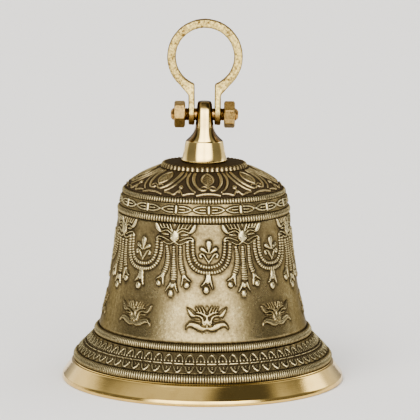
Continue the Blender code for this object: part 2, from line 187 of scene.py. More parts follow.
class Canvas:
    """Relief over a grid of x and y: raised shapes, the gap round them and cut lines."""

    def __init__(self, x, y):
        self.x, self.y = np.broadcast_arrays(x, y)
        self.raised = np.zeros(self.x.shape)
        self.gap = np.full(self.x.shape, 9.0)
        self.cuts = np.zeros(self.x.shape)

    def nearest(self, points):
        """How far each grid point is outside the line, and the line's half width and length so far there."""
        outside = np.full(self.x.shape, 99.0)
        width = np.ones(self.x.shape)
        along = np.zeros(self.x.shape)
        start = 0.0
        for (ax, ay, aw), (bx, by, bw) in zip(points, points[1:]):
            run = hypot(bx - ax, by - ay)
            if run < 1e-6:
                continue
            ux, uy = (bx - ax) / run, (by - ay) / run
            s = np.clip((self.x - ax) * ux + (self.y - ay) * uy, 0, run)
            w = aw + (bw - aw) * s / run
            d = np.hypot(self.x - ax - s * ux, self.y - ay - s * uy) - w
            near = d < outside
            outside[near], width[near], along[near] = d[near], w[near], (start + s)[near]
            start += run
        return outside, width, along

    def add(self, outside, dome):
        self.raised = np.maximum(self.raised, dome)
        self.gap = np.minimum(self.gap, outside)

    def stroke(self, points, height, ribs=0.0, smooth=True):
        """A raised rounded line through points of (x, y, half width), with cross ribs of that pitch."""
        outside, width, along = self.nearest(eased(points) if smooth else points)
        q = np.clip(-outside / np.maximum(width, 0.05), 0, 1)
        dome = height * np.sqrt(q * (2 - q))
        if ribs:
            gaps = 1 - np.abs(np.cos(pi * along / ribs))
            self.cuts = np.maximum(self.cuts, RIB_DEPTH * gaps * (outside < 0))
        self.add(outside, dome)

    def blob(self, x, y, half_x, half_y, height, turn=0.0):
        """A raised oval."""
        c, s = cos(radians(turn)), sin(radians(turn))
        u = ((self.x - x) * c + (self.y - y) * s) / half_x
        v = ((self.y - y) * c - (self.x - x) * s) / half_y
        r = np.hypot(u, v)
        self.add((r - 1) * min(half_x, half_y), height * np.sqrt(np.clip(1 - r**2, 0, 1)))

    def cut(self, points, depth, smooth=True):
        """An engraved line."""
        outside, width, _ = self.nearest(eased(points) if smooth else points)
        q = np.clip(-outside / np.maximum(width, 0.05), 0, 1)
        self.cuts = np.maximum(self.cuts, depth * q * (2 - q))

    def pair(self, points, *args, draw=None, **options):
        """The same stroke or cut on both sides of x 0."""
        for side in (points, [(-x, y, w) for x, y, w in points]):
            (draw or self.stroke)(side, *args, **options)

    def result(self, shade=0.25, reach=1.6):
        """(relief, tone): heights, and 1 on high ground, 0 on plain ground and -1 in the cuts."""
        away = np.maximum(self.gap, 0)
        groove = np.exp(-(((away - OUTLINE_WIDTH) / OUTLINE_WIDTH) ** 2)) * (self.gap > -0.02)
        relief = self.raised - OUTLINE_DEPTH * groove - self.cuts
        tone = np.clip(self.raised / FULL_HEIGHT, 0, 1) ** 0.6 - 0.85 * groove
        tone = tone - shade * np.exp(-((away / reach) ** 2)) * (self.gap > 0) - 4.2 * self.cuts
        return relief, np.clip(tone, -1, 1)


# The ornament. x is the distance round the bell. On the waist and the chain band y is the height, and on
# the slanted bands it is the distance down from the band's top.

ROPE_RIBS, TASSEL_RIBS = 1.27, 1.06  # pitch of the cross ribs


def mirrored(points):
    """A line that goes down the left side and comes up the right."""
    return points + [(-x, y, w) for x, y, w in reversed(points[:-1])]


def draw_lion_crest(c):
    """A lion's head under the waist's top moulding, with leaf ears, a mane and a two-lined lip."""
    pair, stroke = c.pair, c.stroke
    pair([(9.8, 81.3, 0.5), (9.2, 79.7, 1.0), (8.3, 78.1, 1.0), (7.2, 77.1, 0.5)], 0.6)
    pair([
        (7.4, 77.0, 0.32), (5.8, 77.5, 0.32), (4.4, 77.95, 0.34), (3.3, 77.8, 0.36), (2.4, 77.2, 0.38),
        (1.5, 76.6, 0.4)], 0.5)
    pair([(7.9, 81.3, 0.26), (7.1, 80.0, 0.32), (6.2, 78.8, 0.3)], 0.42)
    pair([(6.0, 81.3, 0.27), (5.5, 80.2, 0.3), (5.0, 79.2, 0.28)], 0.42)
    pair([(4.2, 81.3, 0.28), (3.7, 80.2, 0.32), (3.2, 79.3, 0.3)], 0.42)
    pair([
        (6.3, 78.75, 0.26), (4.9, 79.05, 0.26), (3.5, 79.1, 0.28), (2.3, 78.5, 0.28),
        (1.5, 77.7, 0.28)], 0.4)
    pair([(2.5, 81.3, 0.3), (1.9, 79.8, 0.35), (1.1, 78.0, 0.36), (0.7, 77.1, 0.4)], 0.5)
    stroke([(0, 81.3, 0.45), (0, 80.3, 0.28), (0, 79.3, 0.08)], 0.35)
    stroke([(0, 77.6, 0.75), (0, 76.6, 1.5), (0, 75.6, 2.15), (0, 75.0, 2.25)], 0.75)
    for side in (-1, 1):
        c.blob(side * 1.5, 74.45, 0.9, 0.72, 0.85)
        c.blob(side * 4.8, 76.15, 2.0, 0.45, 0.4, turn=side * 5)
    pair([
        (9.2, 73.9, 0.36), (8.2, 74.9, 0.42), (6.3, 74.75, 0.36), (4.9, 74.3, 0.34), (3.6, 73.75, 0.34),
        (2.6, 73.3, 0.3)], 0.5)
    pair([
        (9.2, 73.8, 0.3), (7.2, 73.55, 0.3), (5.6, 72.8, 0.32), (4.0, 71.95, 0.34), (2.3, 71.6, 0.36),
        (1.0, 72.2, 0.36), (0, 72.95, 0.4)], 0.55)


def draw_garland(c):
    """Two ropes hung in a loop, with a lily inside and a bell-shaped drop below."""
    pair, stroke = c.pair, c.stroke
    inner = [
        (-7.6, 73.2, 0.8), (-7.55, 71.0, 0.82), (-7.5, 68.8, 0.84), (-7.1, 66.3, 0.86), (-6.0, 63.9, 0.86),
        (-4.15, 62.25, 0.86), (-2.1, 61.5, 0.86), (0, 61.3, 0.86)]
    outer = [
        (-10.1, 72.7, 0.86), (-10.05, 70.5, 0.88), (-10.0, 68.3, 0.9), (-9.5, 65.3, 0.92),
        (-8.15, 62.2, 0.92), (-5.9, 60.1, 0.92), (-3.0, 59.05, 0.92), (0, 58.85, 0.92)]
    for rope in (inner, outer):
        stroke(mirrored(rope), 0.62, ribs=ROPE_RIBS)
    stroke([(0, 72.6, 1.35), (0, 71.5, 1.25), (0, 70.2, 0.85), (0, 69.0, 0.5), (0, 68.1, 0.3)], 0.7)
    pair([(-3.2, 69.8, 1.0), (-2.4, 69.3, 0.85), (-1.4, 68.5, 0.5), (-0.5, 67.8, 0.3)], 0.65)
    pair([(-3.75, 66.1, 0.75), (-3.8, 66.3, 0.7)], 0.6)
    pair([
        (-4.35, 66.7, 0.36), (-3.9, 67.45, 0.4), (-2.9, 67.5, 0.42), (-2.1, 66.8, 0.42), (-1.1, 65.1, 0.42),
        (-0.1, 63.8, 0.45)], 0.55)
    stroke([(0, 64.0, 0.45), (0, 63.2, 0.28), (0, 62.7, 0.1)], 0.5)
    stroke([(-0.95, 57.3, 0.5), (-1.35, 55.3, 0.5), (-2.4, 53.7, 0.45), (-3.6, 52.5, 0.18)], 0.6)
    stroke([(0.6, 57.3, 0.5), (0.85, 55.0, 0.5), (1.35, 53.0, 0.42), (1.95, 51.3, 0.18)], 0.6)
    stroke([(-0.2, 57.3, 1.2), (-0.3, 55.6, 1.2), (-0.5, 54.7, 1.1)], 0.6)
    c.blob(-1.25, 50.8, 1.4, 1.75, 0.8)


def draw_tassels(c):
    """Three ribbed tassels under a lion's head, each opening over a bead."""
    stroke = c.stroke
    stroke([
        (-0.1, 70.2, 0.72), (0, 67.0, 0.82), (0.05, 64.0, 1.0), (0.2, 61.0, 1.25), (0.35, 58.5, 1.45),
        (0.4, 56.5, 1.5), (0.3, 54.8, 1.5)], 0.62, ribs=TASSEL_RIBS)
    stroke([(-0.4, 54.9, 0.6), (-1.2, 52.8, 0.5), (-2.3, 51.0, 0.4), (-3.2, 49.6, 0.18)], 0.6)
    stroke([(0.9, 54.9, 0.6), (1.5, 52.8, 0.5), (2.1, 51.0, 0.4), (2.75, 49.6, 0.18)], 0.6)
    stroke([(0.2, 54.9, 1.2), (0.1, 53.4, 1.25), (-0.1, 52.2, 1.0)], 0.6)
    c.blob(-0.6, 48.7, 1.3, 1.8, 0.8)
    stroke([
        (-3.6, 70.3, 0.8), (-3.1, 67.5, 0.95), (-2.95, 65.3, 1.05), (-3.15, 62.8, 1.15), (-3.8, 60.2, 1.2),
        (-4.7, 58.1, 1.15)], 0.62, ribs=TASSEL_RIBS)
    stroke([(-5.1, 57.7, 0.55), (-6.3, 56.4, 0.45), (-7.6, 55.5, 0.38), (-8.5, 55.0, 0.18)], 0.6)
    stroke([(-4.6, 57.5, 0.6), (-4.9, 55.5, 0.55), (-4.8, 53.8, 0.4), (-4.5, 52.5, 0.18)], 0.6)
    stroke([(-4.9, 57.5, 0.95), (-5.4, 56.4, 0.8)], 0.6)
    c.blob(-7.1, 53.1, 1.25, 1.5, 0.8, turn=20)
    stroke([
        (3.1, 70.3, 0.78), (3.2, 67.0, 0.9), (3.35, 64.5, 1.0), (4.0, 61.2, 1.12),
        (5.0, 58.5, 1.15)], 0.62, ribs=TASSEL_RIBS)
    stroke([(5.1, 57.9, 0.5), (4.95, 55.7, 0.45), (4.8, 53.9, 0.38), (4.65, 52.3, 0.18)], 0.6)
    stroke([(5.5, 57.7, 0.55), (6.6, 56.2, 0.45), (7.8, 55.2, 0.38), (8.7, 54.5, 0.18)], 0.6)
    stroke([(5.3, 57.6, 0.95), (5.8, 56.5, 0.75)], 0.6)
    c.blob(7.0, 52.8, 1.3, 1.55, 0.8, turn=-15)


def draw_lion_mask(c):
    """A lion's face with pointed ears, a streaked forehead and a wide upper lip, low on the waist."""
    pair, stroke = c.pair, c.stroke
    pair([(9.15, 42.2, 0.25), (8.4, 40.7, 0.85), (7.3, 39.4, 0.95), (6.0, 38.8, 0.7)], 0.4)
    pair([
        (6.6, 38.8, 0.5), (4.8, 39.0, 0.5), (3.4, 38.7, 0.55), (2.4, 37.9, 0.6), (2.0, 36.8, 0.6),
        (1.9, 35.8, 0.7)], 0.42)
    pair([(5.1, 42.8, 0.2), (4.0, 40.8, 0.4)], 0.32)
    pair([(3.8, 43.0, 0.22), (2.8, 40.8, 0.42)], 0.34)
    pair([(2.4, 43.2, 0.25), (1.1, 40.4, 0.5)], 0.36)
    stroke([(0, 42.8, 0.45), (0, 41.0, 0.25)], 0.3)
    pair([(5.3, 40.4, 0.3), (4.0, 40.3, 0.5), (2.4, 40.0, 0.6), (1.0, 39.2, 0.65), (0, 38.6, 0.6)], 0.36)
    stroke([(0, 39.0, 0.5), (0, 37.6, 0.7), (0, 36.4, 1.2), (0, 35.5, 1.7)], 0.5)
    for side in (-1, 1):
        c.blob(side * 1.35, 34.95, 0.95, 0.75, 0.6)
        c.blob(side * 4.7, 37.5, 1.5, 0.42, 0.36, turn=side * 4)
    pair([
        (0, 33.2, 0.75), (1.8, 33.0, 1.1), (3.5, 33.7, 1.4), (5.3, 34.4, 1.3), (7.0, 34.9, 1.15),
        (8.5, 34.7, 0.9), (9.5, 33.9, 0.5), (9.9, 32.9, 0.2)], 0.45)

    def engrave(points, depth, **options):
        pair(points, depth, draw=c.cut, **options)

    fine, bold = 0.24, 0.3
    engrave([
        (9.4, 42.7, fine), (9.3, 41.5, fine), (8.5, 39.6, bold), (7.7, 38.3, bold), (7.05, 37.9, fine)], 0.4)
    engrave([
        (9.4, 42.7, fine), (8.2, 42.3, fine), (7.05, 41.8, bold), (6.0, 40.9, bold), (5.4, 40.05, fine)], 0.4)
    engrave([
        (5.2, 39.9, fine), (3.8, 39.65, fine), (2.7, 39.2, bold), (1.9, 38.5, bold), (1.1, 37.7, fine),
        (0.65, 37.1, 0.12)], 0.4)
    engrave([(5.8, 42.7, 0.12), (4.6, 40.9, bold)], 0.4, smooth=False)
    engrave([(4.3, 42.8, 0.12), (3.2, 40.9, bold)], 0.4, smooth=False)
    engrave([(3.0, 42.8, 0.12), (1.8, 40.3, bold)], 0.4, smooth=False)
    engrave([(1.85, 43.0, 0.14), (0, 39.9, 0.34)], 0.45, smooth=False)
    engrave([
        (6.9, 38.1, 0.14), (5.2, 38.35, fine), (3.6, 38.1, fine), (2.95, 37.4, fine), (2.75, 36.3, bold),
        (2.95, 35.2, bold), (2.6, 34.4, bold), (1.95, 34.15, fine)], 0.42)
    engrave([(0.9, 33.95, fine), (0.4, 34.7, fine), (0.08, 35.3, 0.12)], 0.4)
    engrave([(6.2, 37.1, 0.12), (4.7, 36.95, fine), (3.4, 37.1, 0.14)], 0.3)
    engrave([
        (9.1, 34.9, fine), (8.4, 36.1, bold), (7.4, 36.5, bold), (6.2, 36.3, fine), (4.7, 35.9, fine),
        (3.2, 35.8, fine)], 0.4)
    engrave([(9.2, 35.2, bold), (9.95, 34.0, bold), (10.2, 32.8, fine)], 0.4)
    engrave([
        (8.7, 33.75, fine), (7.0, 33.65, bold), (5.7, 32.95, fine), (4.4, 32.05, fine), (3.1, 31.75, bold),
        (1.8, 31.8, fine), (0.6, 32.4, fine), (0, 32.5, fine)], 0.36)
    engrave([(1.0, 31.5, 0.14), (0.6, 31.0, 0.2)], 0.25)
    engrave([(2.6, 31.1, 0.14), (2.0, 30.7, 0.2)], 0.2)


def draw_lotus(c):
    """A bud with a veined leaf between two horseshoe petals, on the shoulder."""
    pair, stroke = c.pair, c.stroke
    pair([
        (0, 1.9, 0.3), (1.5, 3.4, 0.42), (2.6, 5.8, 0.48), (2.75, 8.2, 0.48), (1.9, 10.3, 0.45),
        (0, 12.0, 0.42)], 0.6)
    stroke([(0, 3.2, 0.18), (0, 10.8, 0.26)], 0.4)
    for top in (4.4, 6.2, 8.0):
        pair([(0, top, 0.2), (1.5, top + 1.7, 0.26)], 0.42, smooth=False)
    stroke([(0, 12.0, 0.45), (0, 13.7, 0.35)], 0.45)
    pair([(0.5, 13.1, 0.25), (1.6, 12.4, 0.34), (2.8, 12.7, 0.34), (3.5, 13.6, 0.22)], 0.45)
    pair([
        (5.5, 1.5, 0.8), (6.3, 4.6, 0.86), (6.55, 8.0, 0.86), (6.05, 11.2, 0.8), (4.7, 13.8, 0.7),
        (2.9, 15.2, 0.6), (1.3, 14.9, 0.5), (0.6, 14.2, 0.45)], 0.65)
    pair([
        (7.7, 1.4, 0.5), (8.95, 4.5, 0.62), (9.5, 8.0, 0.68), (9.2, 11.6, 0.66), (8.0, 14.6, 0.6),
        (6.3, 16.3, 0.5)], 0.55)
    c.blob(0, 7.0, 2.5, 4.7, 0.09)
    stroke(mirrored([(-5.7, 18.7, 0.4), (-2.8, 17.8, 0.5), (0, 17.5, 0.55)]), 0.7)


def draw_shoulder_ball(c):
    """A small ball on two spread wings, between two lotus petals."""
    c.blob(0, 13.4, 1.15, 1.35, 0.75)
    c.stroke([(0, 14.6, 0.35), (0, 16.9, 0.4)], 0.5)
    c.pair([
        (0.3, 15.7, 0.35), (1.3, 17.2, 0.42), (2.4, 18.5, 0.45), (4.8, 17.6, 0.5), (7.4, 17.5, 0.38)], 0.65)


def draw_chain_link(c):
    """A bar with half an almond on each side, each with a tongue inside."""
    c.stroke([(0, 89.15, 0.74), (0, 86.45, 0.74)], 0.6, smooth=False)
    c.pair([
        (1.6, 89.15, 0.42), (3.6, 89.15, 0.42), (5.4, 88.75, 0.42), (6.7, 88.2, 0.4), (7.4, 87.8, 0.3),
        (6.7, 87.4, 0.4), (5.4, 86.85, 0.42), (3.6, 86.5, 0.42), (1.6, 86.5, 0.42)], 0.55)
    c.pair([(1.7, 87.82, 0.4), (4.1, 87.82, 0.38)], 0.5, smooth=False)


def draw_petal_pair(c):
    """A petal pointing up and one pointing down, with a bar between them."""
    pair, stroke = c.pair, c.stroke
    pair([(1.8, 4.9, 0.4), (1.5, 3.3, 0.33), (0.85, 1.95, 0.3), (0, 1.3, 0.3)], 0.45)
    stroke([(0, 3.2, 0.2), (0, 4.9, 0.38)], 0.38, smooth=False)
    stroke([(-1.95, 6.4, 0.38), (1.95, 6.4, 0.38)], 0.5, smooth=False)
    pair([(1.85, 8.0, 0.34), (1.4, 9.5, 0.36), (0.6, 10.6, 0.38), (0, 11.05, 0.42)], 0.5)
    stroke([(0, 8.1, 0.38), (0, 9.2, 0.18)], 0.4, smooth=False)


def sector_relief(line, columns, y, draw, draw_between=None, cells=SECTORS, turn=PATTERN_TURN, **finish):
    """(angles, relief, tone) of a pattern in equal cells, and of any other pattern centred between them."""
    theta = (np.arange(columns) / columns - 0.5) * tau / cells
    c = Canvas(theta[None, :] * line[:, :1], y[:, None])
    draw(c)
    if draw_between:
        other = Canvas(c.x, c.y)
        draw_between(other)
        half = columns // 2
        c.raised = np.maximum(c.raised, np.roll(other.raised, half, 1))
        c.gap = np.minimum(c.gap, np.roll(other.gap, half, 1))
        c.cuts = np.maximum(c.cuts, np.roll(other.cuts, half, 1))
    relief, tone = c.result(**finish)
    angles = (theta[None, :] + np.arange(cells)[:, None] * tau / cells).ravel() + turn
    return angles, np.tile(relief, (1, cells)), np.tile(tone, (1, cells))


def rib_wave(ribs, per_rib, turn):
    """(angles, wave): 1 on each of the ribs round the bell, and 0 between them."""
    theta = turns(ribs * per_rib) + turn
    return theta, (0.5 + 0.5 * np.cos(ribs * (theta - turn))) ** 0.8


def fluted(name, line, ribs, per_rib, rib_height, material, turn):
    """A rounded moulding cut into small upright ribs."""
    theta, wave = rib_wave(ribs, per_rib, turn)
    across = np.sin(np.linspace(0, pi, len(line)))[:, None] ** 0.6
    relief = rib_height * wave[None, :] * across - 0.25 * (1 - across)
    tone = np.clip(1.9 * wave[None, :] * across - 0.95, -1, 1)
    return band(name, line, theta, relief, tone, material)


# Materials


class Nodes:
    """A node tree, with short ways of adding to it."""

    def __init__(self, tree):
        self.tree = tree

    def node(self, kind, **settings):
        made = self.tree.nodes.new(kind)
        for key, value in settings.items():
            setattr(made, key, value)
        return made

    def feed(self, socket, value):
        if isinstance(value, bpy.types.NodeSocket):
            self.tree.links.new(value, socket)
        else:
            socket.default_value = value

    def maths(self, operation, a, b=0.0, c=0.0, clamp=False):
        made = self.node("ShaderNodeMath", operation=operation, use_clamp=clamp)
        for socket, value in zip(made.inputs, (a, b, c)):
            self.feed(socket, value)
        return made.outputs[0]

    def ramp(self, value, stops):
        """A colour or grey for each value; stops are (place, grey or colour)."""
        made = self.node("ShaderNodeValToRGB")
        self.feed(made.inputs["Fac"], value)
        ends = made.color_ramp.elements
        while len(ends) < len(stops):
            ends.new(0.5)
        for end, (place, colour) in zip(ends, stops):
            end.position = place
            end.color = (colour, colour, colour, 1) if isinstance(colour, float) else (*colour, 1)
        return made.outputs["Color"]


class Shader(Nodes):
    """A node material, built up from one Principled shader."""

    def __init__(self, name):
        self.material = bpy.data.materials.new(name)
        self.material.use_nodes = True
        super().__init__(self.material.node_tree)
        self.main = self.tree.nodes["Principled BSDF"]
        self.place = self.node("ShaderNodeTexCoord").outputs["Object"]

    def stretched(self, scale):
        made = self.node("ShaderNodeMapping")
        self.feed(made.inputs["Vector"], self.place)
        made.inputs["Scale"].default_value = scale
        return made.outputs[0]

    def noise(self, scale, detail=3.0, rough=0.6, vector=None):
        """Cloudy noise from 0 to 1, about 0.5; scale is features per metre."""
        made = self.node("ShaderNodeTexNoise")
        self.feed(made.inputs["Vector"], vector or self.place)
        made.inputs["Scale"].default_value = scale
        made.inputs["Detail"].default_value = detail
        made.inputs["Roughness"].default_value = rough
        return made.outputs["Fac"]

    def tone(self):
        return self.node("ShaderNodeAttribute", attribute_name="tone").outputs["Fac"]

    def darkened(self, colour, painted_shade_colour, ragged):
        """The colour, turning to a painted shade colour where the piece's tone falls below 0."""
        if painted_shade_colour is None:
            return colour
        made = self.node("ShaderNodeMix", data_type="RGBA")
        low = self.maths("MULTIPLY_ADD", self.tone(), -1.3, self.maths("SUBTRACT", ragged, 0.6), clamp=True)
        self.feed(made.inputs["Factor"], low)
        self.feed(made.inputs["A"], colour)
        self.feed(made.inputs["B"], (*painted_shade_colour, 1))
        return made.outputs["Result"]

    def bump(self, height, distance, strength=1.0, below=None):
        made = self.node("ShaderNodeBump")
        self.feed(made.inputs["Height"], height)
        made.inputs["Distance"].default_value = distance
        made.inputs["Strength"].default_value = strength
        if below is not None:
            self.feed(made.inputs["Normal"], below)
        return made.outputs["Normal"]


def linear(*srgb):
    """A colour given as 0 to 255 screen values, as the shader's linear values."""
    return tuple((v / 255 / 12.92) if v <= 10 else ((v / 255 + 0.055) / 1.055) ** 2.4 for v in srgb)


RIM_TINT = (0.4, 0.39, 0.37)  # tarnish dulls the metal where it is seen at a low angle


def worn_brass(name, dark, plain, bright, rough=(0.6, 0.29, 0.24)):
    """Antique brass: dark in the cuts, rubbed bright on high ground, speckled with tarnish."""
    s = Shader(name)
    fine = s.noise(2600, 3.0, 0.6)
    grainy = s.noise(750, 4.0, 0.65)
    broad = s.noise(85, 3.0, 0.55)
    streak = s.noise(1, 3.0, 0.6, s.stretched((700, 700, 60)))
    value = s.maths("MULTIPLY_ADD", s.tone(), 0.5, 0.5)
    for noise, share in ((fine, 0.2), (grainy, 0.5), (broad, 0.3), (streak, 0.15)):
        value = s.maths("MULTIPLY_ADD", s.maths("SUBTRACT", noise, 0.5), share, value)
    value = s.maths("ADD", value, 0.0, clamp=True)
    middle = tuple((a + b) / 2 for a, b in zip(dark, plain))
    colours = [(0.0, dark), (0.3, middle), (0.5, plain), (0.86, bright)]
    s.feed(s.main.inputs["Base Color"], s.ramp(value, colours))
    grit = s.maths("SUBTRACT", fine, 0.5)
    dull = s.ramp(value, list(zip((0.0, 0.5, 0.9), rough)))
    s.feed(s.main.inputs["Roughness"], s.maths("MULTIPLY_ADD", grit, 0.25, dull))
    s.feed(s.main.inputs["Metallic"], s.ramp(value, [(0.0, 0.6), (0.4, 1.0)]))
    s.main.inputs["Specular Tint"].default_value = (*RIM_TINT, 1)
    grain = s.bump(fine, 0.00012, 0.5)
    s.feed(s.main.inputs["Normal"], s.bump(s.noise(700, 3.0, 0.6), 0.0003, 0.35, grain))
    return s.material


def bright_brass(
    name, colour, tarnish, rough, scratch=0.5, stretch=(60, 60, 5200), spots=0.35, painted_shade_colour=None
):
    """Polished metal with fine turning lines and a little tarnish."""
    s = Shader(name)
    lines = s.noise(1, 2.0, 0.7, s.stretched(stretch))
    broad = s.noise(120, 4.0, 0.6)
    stain = s.ramp(broad, [(0.45, 0.0), (0.8, spots)])
    mix = s.node("ShaderNodeMix", data_type="RGBA")
    s.feed(mix.inputs["Factor"], stain)
    s.feed(mix.inputs["A"], (*colour, 1))
    s.feed(mix.inputs["B"], (*tarnish, 1))
    s.feed(s.main.inputs["Base Color"], s.darkened(mix.outputs["Result"], painted_shade_colour, broad))
    s.main.inputs["Metallic"].default_value = 1.0
    grit = s.maths("SUBTRACT", lines, 0.5)
    dull = s.maths("MULTIPLY_ADD", broad, 0.1, rough - 0.05)
    s.feed(s.main.inputs["Roughness"], s.maths("MULTIPLY_ADD", grit, 0.12, dull))
    s.feed(s.main.inputs["Normal"], s.bump(lines, 0.00004, scratch))
    return s.material


def cast_brass(name, bright, pit, rough, grain=900, depth=0.0005, metal=1.0, painted_shade_colour=None):
    """Rough cast brass: pale high grains and brown pits."""
    s = Shader(name)
    grains = s.noise(grain, 5.0, 0.7)
    broad = s.noise(150, 3.0, 0.6)
    value = s.maths("MULTIPLY_ADD", s.maths("SUBTRACT", broad, 0.5), 0.4, grains)
    middle = tuple(0.35 * a + 0.65 * b for a, b in zip(pit, bright))
    grainy = s.ramp(value, [(0.33, pit), (0.46, middle), (0.6, bright)])
    s.feed(s.main.inputs["Base Color"], s.darkened(grainy, painted_shade_colour, broad))
    s.main.inputs["Metallic"].default_value = metal
    s.feed(s.main.inputs["Roughness"], s.ramp(value, [(0.3, rough + 0.2), (0.65, rough)]))
    fine = s.bump(s.noise(3500, 3.0, 0.6), 0.00008, 0.5)
    s.feed(s.main.inputs["Normal"], s.bump(grains, depth, 0.6, fine))
    return s.material


antique = worn_brass("antique_brass", linear(56, 46, 34), linear(165, 149, 112), linear(216, 204, 166))
shoulder_brass = worn_brass(
    "shoulder_brass", linear(78, 67, 53), linear(136, 118, 88), linear(208, 190, 146), (0.6, 0.38, 0.3)
)
lip_brass = bright_brass("lip_brass", linear(235, 205, 138), linear(194, 160, 96), rough=0.1)
# The darker colours given below for the stem and the ring handle are painted shade.
stem_brass = bright_brass(
    "stem_brass", linear(250, 223, 158), linear(214, 178, 110), rough=0.09, spots=0.2,
    painted_shade_colour=linear(122, 98, 62),
)
bail_brass = cast_brass(
    "bail_brass", linear(238, 216, 150), linear(104, 76, 40), rough=0.32, painted_shade_colour=linear(156, 128, 82)
)
nut_brass = cast_brass(
    "nut_brass", linear(192, 164, 110), linear(112, 88, 54), rough=0.36, grain=1300, depth=0.0001, metal=0.8
)
stud_brass = cast_brass(
    "stud_brass", linear(206, 168, 112), linear(112, 82, 48), rough=0.2, grain=1300, depth=0.00005
)
inner_brass = bright_brass(
    "inner_brass", linear(176, 144, 84), linear(96, 74, 42), rough=0.42, scratch=1.0,
    stretch=(40, 40, 1500), spots=0.8,
)
clapper_brass = bright_brass(
    "clapper_brass", linear(222, 184, 110), linear(150, 116, 64), rough=0.24, spots=0.5
)
steel = bright_brass("steel", linear(196, 196, 192), linear(120, 112, 100), rough=0.3, spots=0.4)


# The bell's body, as rings that meet in its grooves

FLARE_TOP = (62.3, 9.6)
PETAL_BOTTOM, PETAL_TOP = (60.5, 14.0), (52.3, 22.4)
WAIST_BOTTOM, WAIST_PULL, WAIST_TOP = (50.4, 26.4), (44.4, 45.0), (41.1, 81.4)
CHAIN_BOTTOM, CHAIN_TOP = (40.4, 85.1), (39.3, 90.5)
SHOULDER_BOTTOM, SHOULDER_PULL, SHOULDER_TOP = (37.8, 93.4), (31.8, 99.0), (20.8, 102.9)
HEADS_END, GARLANDS_END = 70.5, 47.6  # heights where the waist is cut into three rings
MASK_SHIFT = 0.9  # how far left of the garlands' centre line the masks sit
COLLAR_RIBS, COLLAR_TURN = 52, radians(-2.4)
PETAL_PAIRS, PETAL_TURN = 68, radians(-0.9)
CHAIN_LINKS = 16
BEADING_TURN = radians(0.3)


def moulding_line(top, bottom, bulge, count=10):
    """A half-round moulding's profile."""
    line = between(top, bottom, count)
    out = normals_of(line)
    return line + out * bulge * np.sin(np.linspace(0, pi, count))[:, None]


def spaced(line, step):
    """The profile with its points this far apart."""
    total = length_of(line)
    return resampled(line, np.linspace(0, total, max(3, round(total / step) + 1)))


def make_waist():
    """The waist's relief, drawn on one grid and cut into three rings that share their edge points."""
    top, bottom = WAIST_TOP[1], WAIST_BOTTOM[1]
    masks_top, masks_bottom = 44.4, 30.0
    curve = bezier(WAIST_TOP, WAIST_PULL, WAIST_BOTTOM, 200)
    heights = np.concatenate([
        np.linspace(top, HEADS_END, 46)[:-1],
        np.linspace(HEADS_END, GARLANDS_END, 88)[:-1],
        np.linspace(GARLANDS_END, masks_top, 5)[:-1],
        np.linspace(masks_top, masks_bottom, 59)[:-1],
        np.linspace(masks_bottom, bottom, 6),
    ])
    line = np.stack([np.interp(-heights, -curve[:, 1], curve[:, 0]), heights], 1)

    def garland_and_mask(c):
        draw_garland(c)
        c.x = c.x + MASK_SHIFT
        draw_lion_mask(c)
        c.x = c.x - MASK_SHIFT

    def crest_and_tassels(c):
        draw_lion_crest(c)
        draw_tassels(c)

    theta, relief, tone = sector_relief(
        line, 132, heights, garland_and_mask, crest_and_tassels, shade=0.6, reach=1.3
    )
    # The top and bottom edges sink into dark grooves, and the masks' tones are milder than those above.
    edge = np.clip(np.minimum(top - heights, heights - bottom) / 0.5, 0, 1)[:, None]
    relief = relief - 0.35 * (1 - edge)
    tone = np.minimum(tone, 2 * edge - 1)
    upper = np.interp(heights, (46.0, 49.0), (0, 1))[:, None]
    tone = tone * np.where(tone > 0, 0.3 + 0.7 * upper, 0.6 + 0.3 * upper)
    normals = grid_normals(raised_face(line, theta, relief))
    made = []
    for name, start, end in (
        ("bell_waist_heads", top, HEADS_END),
        ("bell_waist_garlands", HEADS_END, GARLANDS_END),
        ("bell_waist_masks", GARLANDS_END, bottom),
    ):
        rows = slice(int(np.argmin(abs(heights - start))), int(np.argmin(abs(heights - end))) + 1)
        made.append(band(name, line[rows], theta, relief[rows], tone[rows], antique, normals=normals[rows]))
    return made


def plain_ring(name, line, columns, tone, material):
    """A ring with no relief."""
    flat = np.zeros((len(line), columns))
    return band(name, line, turns(columns), flat, tone[:, None] + flat, material, depth=0.8)


def make_collar():
    """The flat crown round the stem's foot, with a beaded edge."""
    line = np.vstack([
        between((9.0, 105.45), (19.0, 104.95), 12),
        bezier((19.0, 104.95), (19.8, 104.9), (20.0, 104.4), 6)[1:],
        between((20.0, 104.4), (20.55, 102.95), 7)[1:],
    ])
    theta, wave = rib_wave(COLLAR_RIBS, 10, COLLAR_TURN)
    beaded = np.clip((line[:, :1] - 18.2) / 1.2, 0, 1)
    relief = 0.55 * wave[None, :] * beaded - 0.2 * beaded
    tone = beaded * (1.9 * wave[None, :] - 0.9) + (1 - beaded) * -0.45
    return band("bell_collar", line, theta, relief, np.clip(tone, -1, 1), shoulder_brass)


def make_lip():
    """The polished lip, from its top groove over its rim to its inner edge."""
    line = np.vstack([
        between(FLARE_TOP, (62.25, 9.1), 2),
        bezier((62.25, 9.1), (63.2, 9.35), (63.6, 8.35), 6)[1:],
        bezier((63.6, 8.35), (65.4, 5.6), (67.35, 3.0), 14)[1:],
        bezier((67.35, 3.0), (67.75, 2.55), (67.8, 2.1), 5)[1:],
        bezier((67.8, 2.1), (68.05, 1.2), (67.95, 0.7), 5)[1:],
        bezier((67.95, 0.7), (67.8, 0.05), (67.2, 0.02), 5)[1:],
        between((67.2, 0.02), (63.8, 0.02), 4)[1:],
        bezier((63.8, 0.02), (63.4, 0.05), (63.0, 0.5), 4)[1:],
        between((63.0, 0.5), (57.0, 9.8), 6)[1:],
    ])
    groove_height = 9.15
    return plain_ring("bell_lip", line, 384, np.where(line[:, 1] > groove_height, -1.0, 0.6), lip_brass)


